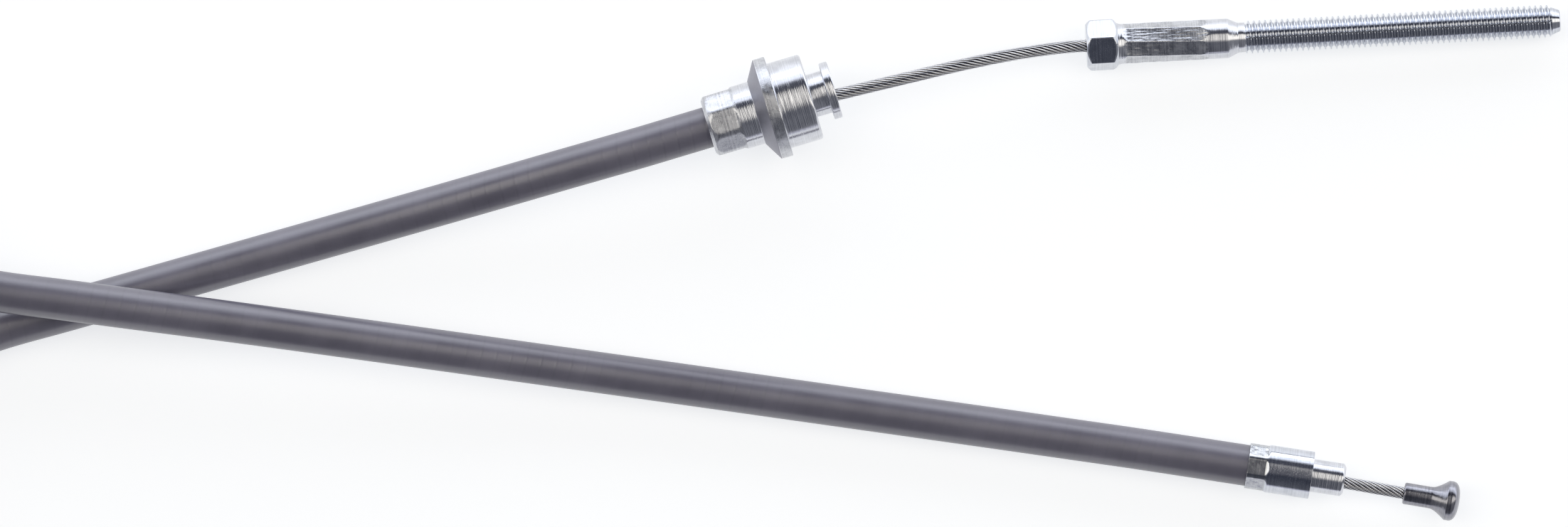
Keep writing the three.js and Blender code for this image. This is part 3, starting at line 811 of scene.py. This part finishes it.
def thread(start, end, place, way, pitch=1.0, major=2.95, depth=0.6134, sides=72):
    """A right-hand thread between two stations: rows that follow the helix, cut off square."""
    heights = [(-0.5, 0.0), (-0.4, 0.0), (-0.34, 0.06), (-0.2, 0.45), (-0.09, 0.93), (-0.05, 1.0),
               (0.05, 1.0), (0.09, 0.93), (0.2, 0.45), (0.34, 0.06), (0.4, 0.0)]
    phases = np.array([p for p, _ in heights] + [0.5])
    levels = np.array([h for _, h in heights] + [0.0])
    turns = np.arange(-1, math.ceil((end - start) / pitch) + 2)
    rows = np.array([k + p for k in turns for p, _ in heights])
    angle = np.arange(sides)[None, :] / sides * 2 * math.pi
    station = start + (rows[:, None] - angle / (2 * math.pi)) * pitch
    station = np.clip(station, start, end)
    phase = ((station - start) / pitch + angle / (2 * math.pi) + 0.5) % 1.0 - 0.5
    radius = major - depth + depth * np.interp(phase, phases, levels)
    radius = np.minimum(radius, 2.62 + (station - start) * 0.9)
    radius = np.minimum(radius, 2.5 + (end - station) * 1.0)
    ahead, across, up = way
    vertices = (
        np.array(place) + station[..., None] * ahead
        + (radius * np.sin(angle))[..., None] * across + (radius * np.cos(angle))[..., None] * up
    ).reshape(-1, 3)
    per_turn, faces = len(heights), []
    for i in range(len(rows) - 1):
        for j in range(sides):
            if j < sides - 1:
                here, after = i * sides + j, (i + 1) * sides + j
                quad = (here, here + 1, after + 1, after)
            else:
                far, near = i + per_turn, i + per_turn + 1
                if near >= len(rows):
                    continue
                quad = (i * sides + j, far * sides, near * sides, (i + 1) * sides + j)
            if len({tuple(np.round(vertices[q], 4)) for q in quad}) < 3:
                continue
            faces.append(quad[::-1])
    return vertices, faces


def threaded_stud():
    way = axes(STUD_HEADING, STUD_DIP)
    hex_corner = 8.0 / 2 / math.cos(math.pi / 6)

    def twisted(angle, s):
        return angle + 0.012 * (s - 14)

    def shape(s, angle, r):
        hexagon = flats(angle, 6, 4.0, 15)
        fade = 0.36 * smooth((s - 19.4) / 3.0) + 0.25 * smooth((7.3 - s) / 0.6)
        faces = flats(twisted(angle, s), 8, 3.215, 0) + fade
        rough = 0.03 * lattice(s, angle, 1.5, 70, 11) + 0.018 * lattice(s, angle, 0.35, 110, 12)
        rough += 0.022 * lattice(s, angle, 2.6, 180, 14)
        uneven = 0.75 + 0.35 * lattice(s, angle, 1.3, 16, 13)
        ridge = ridges(twisted(angle, s), 8, 0, 0.06, 0.05) * uneven
        rough = (rough + ridge) * smooth(22.3 - s)
        r = np.where((s < 5.6001) & (r > 3.0), lesser(r, hexagon, 0.06), r)
        return np.where((s > 6.6) & (s < 23.0) & (r > 3.0), lesser(r, faces + rough, 0.05), r)

    parts = revolved(
        [
            (0, 1.25), (0, hex_corner - 0.85, 0.12), (0.8, hex_corner + 0.03, 0.5),
            (4.8, hex_corner + 0.03, 0.5), (5.6, hex_corner - 0.85, 0.15), (5.6, 3.75, 0.05),
            (6.1, 3.6, 0.3), (6.65, 3.535, 0.2), (25.2, 3.535, 0.8), (27.05, 2.65, 0.6),
            (28.2, 2.65), (28.2, 2.3), (82.6, 2.3), (82.6, 2.5, 0.04), (84.0, 1.95, 0.12),
            (84.15, 1.8, 0.1), (84.15, 0.001),
        ],
        STUD_FACE, way, sides=192, shape=shape, turn=15,
        fine=[(0.05, 5.55, 0.3), (6.6, 23.0, 0.18)],
    )
    vertices, faces = thread(28.15, 82.65, STUD_FACE, way)
    no_uvs = np.zeros((4 * len(faces), 2))
    obj = mesh_object("stud_threaded", *joined([parts, (vertices, faces, no_uvs)]))
    station, distance = face_stations(obj, STUD_FACE, way)
    centres = np.array([p.center for p in obj.data.polygons]) / MM - np.array(STUD_FACE)
    angle = twisted(np.arctan2(centres @ way[1], centres @ way[2]), station)
    flat = ridges(angle, 8, 0, 1.0, 0.05) < 0.55
    crimp = (station > 6.8) & (station < 22.4) & (distance > 3.0) & (distance < 3.5) & flat
    turned = (station > 5.7) & (station < 28.1) & ~crimp
    chosen = np.where(crimp, 1, np.where(turned, 2, 0))
    return with_materials(obj, [zinc, zinc_crimp, zinc_turned], chosen)


def nipple():
    way = axes(NIPPLE_HEADING)
    flare = [(4.95 + 2.65 * t, 1.93 + 1.5 * t ** 1.45) for t in np.linspace(0.12, 0.94, 8)]
    turns = np.linspace(0.15, 1.5, 10)
    dome = [(8.6 + 1.4 * math.sin(a), 3.5 * math.cos(a) ** 0.75) for a in turns]
    parts = revolved(
        [
            (0, 1.25), (0, 1.93, 0.35), (4.6, 1.93), (4.75, 1.97), (4.9, 1.94), *flare,
            (7.75, 3.52, 0.2), (8.55, 3.53, 0.15), *dome, (10.0, 0.001),
        ],
        NIPPLE_FACE, way, sides=96,
    )
    obj = mesh_object("nipple_trumpet", *parts)
    obj.data.materials.append(nickel)
    return obj


ferrule_flanged = dressed(flanged_ferrule(), None, "casing", "zinc_plate", "flanged_ferrule")
ferrule_end = dressed(end_ferrule(), None, "casing", "zinc_plate", "end_ferrule")
stud = dressed(threaded_stud(), None, "stud_end", "zinc_plate", "threaded_stud")
nipple_piece = dressed(nipple(), None, "nipple_end", "nipple_alloy", "nipple")


# Floor and light


def floor():
    mesh = bpy.data.meshes.new("floor")
    half = 8.0
    corners = [(-half, -half), (half, -half), (half, half), (-half, half)]
    mesh.from_pydata([(x, y, -0.2 * MM) for x, y in corners], [], [(0, 1, 2, 3)])
    obj = bpy.data.objects.new("floor", mesh)
    scene.collection.objects.link(obj)
    material = bpy.data.materials.new("floor_white")
    material.use_nodes = True
    shader = material.node_tree.nodes["Principled BSDF"]
    shader.inputs["Base Color"].default_value = (0.5, 0.5, 0.5, 1)
    shader.inputs["Roughness"].default_value = 0.35
    shader.inputs["Specular IOR Level"].default_value = 0.5
    shader.inputs["Emission Color"].default_value = (0.96, 0.98, 1, 1)
    shader.inputs["Emission Strength"].default_value = 0.68
    mesh.materials.append(material)


def studio():
    """A soft studio: a wide light behind, one on each side overhead, and dark between them."""
    world = bpy.data.worlds.new("studio")
    scene.world = world
    world.use_nodes = True
    tree = world.node_tree
    tree.nodes.clear()
    way = add(tree, "ShaderNodeTexCoord").outputs["Generated"]
    parts = add(tree, "ShaderNodeSeparateXYZ", None, Vector=way)
    tilt = maths(tree, "ARCTAN2", parts.outputs[1], parts.outputs[2])
    share = maths(tree, "ADD", maths(tree, "DIVIDE", tilt, 2 * math.pi), 0.5)
    lean = ranged(tree, maths(tree, "ABSOLUTE", parts.outputs[0]), 0.06, 0.26, 0, 1)

    def bands(stops):
        ramp = add(tree, "ShaderNodeValToRGB", None, Fac=share)
        elements = ramp.color_ramp.elements
        elements[0].position, elements[1].position = 0.0, 1.0
        elements[0].color, elements[1].color = (*stops[0][1], 1), (*stops[-1][1], 1)
        for degrees, colour in stops[1:-1]:
            elements.new(0.5 + degrees / 360).color = (*colour, 1)
        return ramp.outputs["Color"]

    pale, dark, grey = (0.7, 0.7, 0.8), (0.05, 0.055, 0.075), (0.14, 0.14, 0.16)
    behind, overhead, gap = (1.4, 1.46, 1.6), (1.65, 1.58, 1.45), (0.08, 0.085, 0.11)
    strong, shade = (2.2, 2.28, 2.45), (0.23, 0.235, 0.26)
    middle = bands([
        (-180, pale), (-88, pale), (-80, dark), (-26, dark), (-12, grey), (20, grey),
        (30, gap), (54, gap), (61, behind), (68, behind), (74, strong), (96, strong), (180, pale),
    ])
    sides = bands([
        (-180, pale), (-88, pale), (-80, shade), (-18, shade), (-4, overhead), (23, overhead),
        (31, gap), (47, gap), (55, behind), (68, behind), (74, strong), (96, strong), (180, pale),
    ])
    both = add(tree, "ShaderNodeMix", {"data_type": "RGBA"}, i0=lean, i6=middle, i7=sides)
    background = add(tree, "ShaderNodeBackground", None, Color=both.outputs[2], Strength=1.0)
    output = add(tree, "ShaderNodeOutputWorld")
    tree.links.new(background.outputs[0], output.inputs["Surface"])


floor()
studio()
